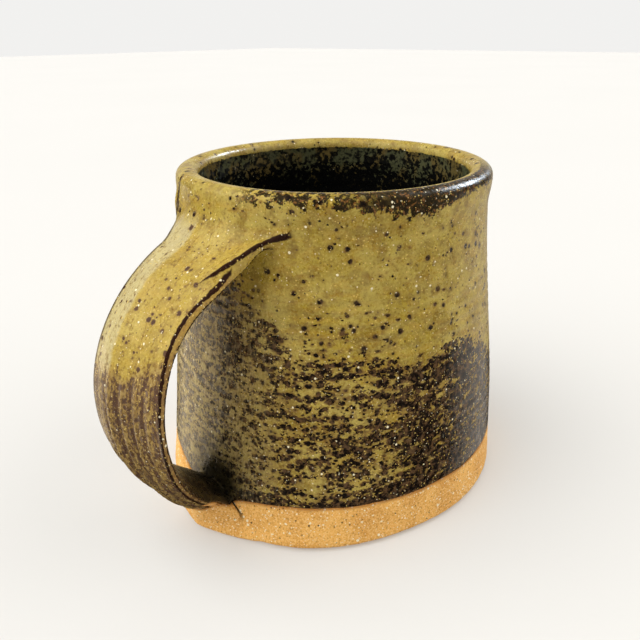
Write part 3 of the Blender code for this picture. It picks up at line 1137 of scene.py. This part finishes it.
def break_lines(g):
    """Lines where the glaze ran thin: the fold, the strap's edges and the ridge up to the lip."""
    wander = g.wander(1.6)
    gaps = g.ramp(g.noise(2.6, 1.0), 0.20, 0.34)
    lines, shows = g.marks("lines"), g.marks("line_shows")
    rims, rim_shows = g.marks("rims"), g.marks("rim_shows")
    total = 0.0
    for signed, share, reach in zip(lines, shows, LINE_REACHES):
        distance = g.absolute(g.add(signed, g.times(wander, 0.7)))
        distance = g.add(distance, g.times(g.less(1.0, share), reach))
        total = g.most(total, g.fall(distance, reach * 0.6, reach))
    ridge = g.absolute(g.add(rims[1], g.times(wander, 1.6)))
    ridge = g.times(g.fall(ridge, 0.45, 0.95), rim_shows[1], gaps)
    outline = g.fall(g.add(rims[2], g.times(wander, 0.5)), 0.9, 1.7)
    outline = g.times(outline, rim_shows[2])
    band = g.times(g.fall(lines[1], -0.35, 0.0), g.ramp(lines[2], 0.0, 0.3), shows[1])
    return g.most(total, g.times(outline, 0.8), g.times(ridge, 0.9)), band


def rim_band(g):
    """The dark, rusty band that hangs from the near lip: its share, and its black share."""
    ragged = g.wander(1.7, 3.0, 0.6)
    inside = g.ramp(g.add(g.marks("rims")[0], g.times(ragged, 9.0)), -0.3, 0.4)
    black = g.ramp(g.noise(0.9, 3.0, 0.7), 0.36, 0.46)
    worn = g.ramp(g.noise(1.6, 3.0, 0.65), 0.50, 0.58)
    worn = g.times(worn, g.less(1.0, g.mark("solid_band")))
    return g.times(inside, g.marks("rim_shows")[0], g.less(1.0, worn)), black


def inside_look(g):
    """Colour and roughness inside: near-black gloss with a speckled olive band under the lip."""
    cover = g.ramp(g.add(g.height, g.times(g.wander(11.0), 16.0)), 68.0, 90.0)
    blotch = g.noise(1.4, 4.0, 0.65, place=g.warped(0.8, 1.2))
    level = g.less(0.70, g.times(cover, 0.25))
    olive = g.ramp(blotch, g.less(level, 0.03), g.add(level, 0.05))
    tint = g.blend(g.ramp(g.noise(7.0), 0.42, 0.6), INSIDE_OLIVE, INSIDE_GOLD)
    rusty = g.specks(g.warped(0.5, 0.8), 2.6, 0.15, 0.4, 0.45)
    grog = g.specks(g.place, 2.4, 0.10, 0.26, 0.35)
    dim = g.fall(g.height, 62.0, 84.5)
    mottled = g.blend(g.ramp(blotch, 0.40, 0.62), DEEP_DARK, DEEP_BROWN)
    colour = g.layers(
        INSIDE_BLACK,
        (olive, tint),
        (g.times(rusty, 0.4), INSIDE_RUST),
        (g.times(grog, cover), GROG),
        (g.times(dim, 0.7), INSIDE_SHADE),
        (g.ramp(g.height, 44.0, 22.0), g.blend(g.times(rusty, 0.6), mottled, INSIDE_RUST)),
    )
    return colour, g.ramp(blotch, 0.3, 0.7, 0.18, 0.34)


def iron_specks(g, cover):
    """Round iron specks in the ash, thickest in loose clusters: their rusty halos, and the specks."""
    ragged = g.warped(0.45, 0.7)
    clusters = g.ramp(g.noise(8.0), 0.40, 0.60)
    low = g.ramp(g.height, 84.0, 56.0)
    few = g.specks(ragged, 2.7, 0.45, 0.95, 0.85)
    few = g.times(few, g.ramp(g.add(clusters, g.times(low, 0.8)), 0.35, 0.6))
    many = g.specks(ragged, 1.5, 0.14, 0.42, 0.85)
    halo = g.specks(ragged, 2.7, 0.85, 1.6, 0.85)
    rust = g.specks(g.moved(ragged, 7.3, 3.1, 5.9), 2.0, 0.2, 0.7, 0.6)
    rust = g.times(rust, g.ramp(cover, 1.0, 0.75, 0.25, 0.6))
    return g.most(g.times(halo, 0.35), rust), g.most(few, g.times(many, clusters))


def painted_far_sheen(g, strap):
    """Painted sheen: a pale line painted along the strap's far ridge and, more thinly, over the facet
    beyond it.
    """
    across = g.add(g.marks("flow")[0], g.times(g.wander(2.0, 3.0), 2.0))
    line = g.ramp(g.absolute(g.less(across, FAR_FACET + 0.3)), 0.2, 1.5, 0.50, 0.0)
    beyond = g.ramp(across, FAR_FACET - 1.3, FAR_FACET + 1.4, 0.0, 0.48)
    return g.times(g.most(line, beyond), strap)


def ash_tints(g, cover, strap, mist):
    """Coats over the olive: the cream lip, the strap's gold as painted light, its painted far sheen, its
    tan, and the painted sheen behind the strap.
    """
    lip = g.times(g.ramp(g.height, 85.5, 89.0), g.less(1.0, g.marks("rim_shows")[0]))
    muddied = g.times(strap, g.ramp(cover, 0.75, 0.3))
    return (
        (g.times(lip, 0.08), LIP_CREAM),
        # Painted light: the strap lightened towards gold.
        (g.times(strap, 0.30), STRAP_PAINTED_LIGHT),
        # Painted sheen along the strap's far ridge and facet.
        (painted_far_sheen(g, strap), FAR_PAINTED_SHEEN),
        (g.times(muddied, 0.65), STRAP_TAN),
        # Painted sheen: a pale reflection painted on the wall behind the strap.
        (g.times(mist, 0.45), PAINTED_SHEEN),
    )


def iron_coats(g, dark, edge, strap, mist):
    """Coats of iron: brown edges, the dark itself, and fine pale and dark scratches in the painted sheen
    behind the strap.
    """
    brown = g.ramp(g.noise(1.3, 3.0, 0.7), 0.44, 0.64)
    iron = g.layers(IRON_BLACK, (g.times(brown, 0.9), IRON_BROWN), (g.times(strap, 0.7), STRAP_BROWN))
    scratches = g.noise(0.55, 4.0, 0.7, place=g.scaled(g.place, 1.0, 1.0, 0.28))
    return (
        (g.times(edge, g.less(0.75, g.times(mist, 0.3))), IRON_EDGE),
        (dark, iron),
        # Pale and dark streaks painted within the sheen.
        (g.times(mist, g.ramp(scratches, 0.46, 0.66, 0.0, 0.5)), PAINTED_SHEEN),
        (g.times(mist, g.ramp(scratches, 0.50, 0.36, 0.0, 0.6)), IRON_BLACK),
    )


def glaze_grog(g):
    """Grains of grog that show through the glaze: pale ones, and smaller golden ones."""
    shards = g.warped(0.3, 0.5)
    large = g.specks(shards, 1.9, 0.10, 0.39, 0.5)
    small = g.specks(shards, 1.0, 0.08, 0.20, 0.55)
    gold = g.specks(g.moved(shards, 2.9, 4.7, 8.3), 0.85, 0.10, 0.27, 0.75)
    return g.most(large, g.times(small, 0.7)), gold


def glaze_material(name):
    """Two-glaze stoneware: olive ash over iron, with iron specks, pale grog and thin dark break lines."""
    g = Graph(name, specular=0.55)
    g.shader.inputs["IOR"].default_value = 1.5
    strap, cover, mist = g.mark("strap"), g.mark("cover"), g.mark("mist")
    iron, edge = iron_pattern(g, cover, strap)
    halo, specks = iron_specks(g, cover)
    dark = g.most(iron, specks)
    band, black = rim_band(g)
    broken, arris = break_lines(g)
    grog, gold = glaze_grog(g)
    ragged_lip = g.add(g.mark("inside"), g.times(g.wander(1.2, 3.0, 0.6), 1.6))
    colour = g.layers(
        olive_colour(g),
        (halo, IRON_EDGE),
        *ash_tints(g, cover, strap, mist),
        *iron_coats(g, dark, edge, strap, mist),
        (g.times(band, 0.95), g.blend(black, RIM_RUST, IRON_BLACK)),
        (g.times(arris, 0.6), ARRIS_TAN),
        (broken, BREAK_BROWN),
        (g.times(gold, 0.8), GROG_GOLD),
        (grog, GROG),
        # Painted shade: the pocket by the strap's heel and the heel's underside darkened to near black.
        (g.times(g.mark("pit"), 0.95), PIT_SHADE_BLACK),
        (g.ramp(ragged_lip, 0.42, 0.58), inside_look(g)[0]),
    )
    sheen = g.ramp(g.noise(2.4, 3.0, 0.6), 0.3, 0.7, 0.22, 0.42)
    roughness = g.add(sheen, g.times(iron, -0.06), g.times(grog, 0.2))
    orange_peel = g.times(g.noise(1.1), 0.07)
    waves = g.times(g.noise(4.0, 1.0), 0.12)
    height = g.add(orange_peel, waves, g.times(dark, -0.05), g.times(grog, 0.06), g.times(broken, -0.06))
    return g.finish(colour, roughness, height)


def liner_material(name):
    """The poured glaze inside the cup."""
    g = Graph(name)
    colour, roughness = inside_look(g)
    relief = g.add(g.times(g.noise(1.4), 0.04), g.times(g.noise(5.0, 1.0), 0.12))
    return g.finish(colour, roughness, relief)


def clay_material(name, shade):
    """Bare fired stoneware: sandy orange, with pale grog, iron specks and a rough open grain."""
    g = Graph(name, specular=0.25)
    slow = g.ramp(g.noise(9.0), 0.35, 0.65)
    sand = g.noise(0.5, 3.0, 0.7)
    grain = g.less(sand, 0.5)
    shards = g.warped(0.3, 0.5)
    large = g.specks(shards, 1.6, 0.16, 0.52, 0.6)
    small = g.specks(g.moved(shards, 3.1, 7.7, 1.9), 0.72, 0.08, 0.26, 0.8)
    grog = g.most(large, small)
    iron = g.specks(g.moved(shards, 6.1, 2.3, 9.7), 1.5, 0.10, 0.34, 0.6)
    blush = g.ramp(g.add(g.mark("over"), g.times(grain, 1.5)), -1.0, -0.1)
    crease = g.absolute(g.add(g.mark("crease"), g.times(grain, 0.5)))
    crease = g.times(g.fall(crease, 0.15, 0.6), g.mark("crease_shows"))
    light, deep = (tuple(shade * v for v in colour) for colour in (CLAY, CLAY_DEEP))
    colour = g.layers(
        g.blend(slow, light, deep),
        (g.ramp(sand, 0.46, 0.68, 0.0, 0.75), CLAY_PALE),
        (g.ramp(sand, 0.46, 0.32, 0.0, 0.75), CLAY_DARK),
        (g.times(grog, 0.9), CLAY_GROG),
        (g.times(iron, 0.9), CLAY_IRON),
        (g.times(blush, 0.75), CLAY_BLUSH),
        (crease, CREASE_DARK),
    )
    grit = g.add(g.times(sand, 0.16), g.times(grog, 0.07), g.times(iron, -0.10), g.times(crease, -0.3))
    height = g.add(grit, g.times(g.noise(2.2), 0.12))
    return g.finish(colour, g.ramp(sand, 0.3, 0.7, 0.72, 0.92), height)


def paper_material(name):
    """The pale floor, with the faintest mottling. A faint glow keeps the mug's shadow soft."""
    g = Graph(name, specular=0.0)
    colour = g.blend(g.noise(300.0), FLOOR_GREY, FLOOR_PALE)
    g.wired(g.shader, {"Emission Color": FLOOR_LIGHT, "Emission Strength": FLOOR_GLOW})
    return g.finish(colour, 0.95, g.times(g.noise(0.8), 0.02))


# ---- stage ----

CAMERA_PLACE = Vector((-0.1370, -0.1150, 0.1223))
CAMERA_AIM = Vector((-0.0028, 0.0032, 0.0417))
CAMERA_TILT = math.radians(-0.49)
DIM_TOWARDS = (-0.58, -0.80, 0.15)
STUDIO_WHITE = (1.0, 0.985, 0.96)
BACKDROP_GREY = (0.885, 0.88, 0.865)
BRIGHT_SIDE = 0.90
DIM_SIDE = 0.10
KEY_POWER = 3.1
SIDE_POWER = 1.6
FLOOR_GLOW = 0.265
FLOOR_SIZE = 8.0
FLOOR_GAP = 0.00005
WINDOW_SOFTNESS = math.radians(70)


def make_camera():
    data = bpy.data.cameras.new("camera")
    data.lens = 36.0
    data.sensor_width = 36.0
    data.clip_start = 0.005
    camera = bpy.data.objects.new("camera", data)
    bpy.context.collection.objects.link(camera)
    camera.location = CAMERA_PLACE
    camera.rotation_euler = (CAMERA_AIM - CAMERA_PLACE).to_track_quat("-Z", "Y").to_euler()
    camera.rotation_euler.rotate_axis("Z", CAMERA_TILT)
    bpy.context.scene.camera = camera


def make_world():
    """A white studio all round, dimmer on the photographer's side, with a plain pale backdrop."""
    world = bpy.data.worlds.new("studio")
    world.use_nodes = True
    g = Nodes(world.node_tree)
    towards = g.node("TexCoord").outputs["Generated"]
    facing = g.wired(g.node("VectorMath", operation="DOT_PRODUCT"), {0: towards, 1: DIM_TOWARDS}, "Value")
    strength = g.ramp(facing, -0.2, 0.8, BRIGHT_SIDE, DIM_SIDE)
    studio = g.wired(g.tree.nodes["Background"], {"Color": STUDIO_WHITE, "Strength": strength})
    backdrop = g.wired(g.node("Background"), {"Color": BACKDROP_GREY})
    seen = g.node("LightPath").outputs["Is Camera Ray"]
    look = g.wired(g.node("MixShader"), {0: seen, 1: studio, 2: backdrop})
    g.feed(g.tree.nodes["World Output"].inputs["Surface"], look)
    world.cycles_visibility.glossy = False
    bpy.context.scene.world = world


def place_light(name, data, place):
    """Puts a light in the given place, shining towards the mug."""
    light = bpy.data.objects.new(name, data)
    bpy.context.collection.objects.link(light)
    light.location = place
    light.rotation_euler = (-Vector(place)).to_track_quat("-Z", "Y").to_euler()
    return light


def make_window(name, place, power, colour):
    """Broad soft daylight from the given side. It lights colours but isn't mirrored in the glaze."""
    data = bpy.data.lights.new(name, "SUN")
    data.angle = WINDOW_SOFTNESS
    data.energy = power
    data.color = colour
    place_light(name, data, place).visible_glossy = False


def make_card(name, place, width, height, brightness, colour):
    """A bright card that's only seen mirrored in the glaze."""
    data = bpy.data.lights.new(name, "AREA")
    data.shape = "RECTANGLE"
    data.size = width
    data.size_y = height
    data.energy = brightness * math.pi * width * height
    data.color = colour
    light = place_light(name, data, place)
    light.visible_diffuse = False
    light.visible_camera = False


def make_floor():
    """A wide sheet of paper, a hair below the foot. It isn't mirrored in the glaze."""
    mesh = bpy.data.meshes.new("floor")
    half = FLOOR_SIZE / 2.0
    corners = [(-half, -half, 0.0), (half, -half, 0.0), (half, half, 0.0), (-half, half, 0.0)]
    mesh.from_pydata(corners, [], [(0, 1, 2, 3)])
    mesh.materials.append(paper_material("floor_paper"))
    floor = bpy.data.objects.new("floor", mesh)
    bpy.context.collection.objects.link(floor)
    floor.location.z = -FLOOR_GAP
    floor.visible_glossy = False


def make_stage():
    make_floor()
    make_world()
    make_window("key_window", (-0.62, 0.30, 0.86), KEY_POWER, (1.0, 0.99, 0.97))
    make_window("side_window", (0.65, -0.65, 0.50), SIDE_POWER, (1.0, 0.97, 0.92))
    make_card("far_card", (1.55, 1.30, -0.05), 3.2, 1.7, 0.55, (1.0, 0.95, 0.90))
    make_card("left_card", (-0.53, 1.28, -0.55), 1.5, 1.0, 1.35, (1.0, 0.85, 0.64))
    make_card("low_card", (1.75, -0.80, -0.70), 1.7, 1.2, 0.75, (1.0, 0.94, 0.85))
    make_card("right_card", (1.20, -0.26, 0.83), 0.55, 0.34, 30.0, (0.80, 0.90, 1.0))
    bpy.context.scene.view_settings.view_transform = "Standard"


# ---- build ----

ash_skin, iron_skin = make_skin()
cup_sheet, tail_sheet = make_bare_sheets()
dressed = (
    (ash_skin, "ash_glaze", glaze_material("ash_over_iron"), ("ash_glaze_coat",)),
    (iron_skin, "iron_glaze", glaze_material("iron_under_ash"), ("iron_glaze_coat",)),
    (make_liner(), "liner_glaze", liner_material("liner_gloss"), ("liner_glaze",)),
    (make_cup_clay(cup_sheet), "bare_stoneware", clay_material("bare_clay", 1.0), ("cup_body",)),
    (
        make_strap_clay(tail_sheet),
        "handle_clay",
        clay_material("tail_clay", 0.98),
        ("strap_handle", "upper_joint_slip", "lower_joint_slip"),
    ),
)
for piece, slot, material, nodes in dressed:
    piece.data.materials.append(material)
    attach(piece, "root")
    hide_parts(*nodes)
make_camera()
make_stage()
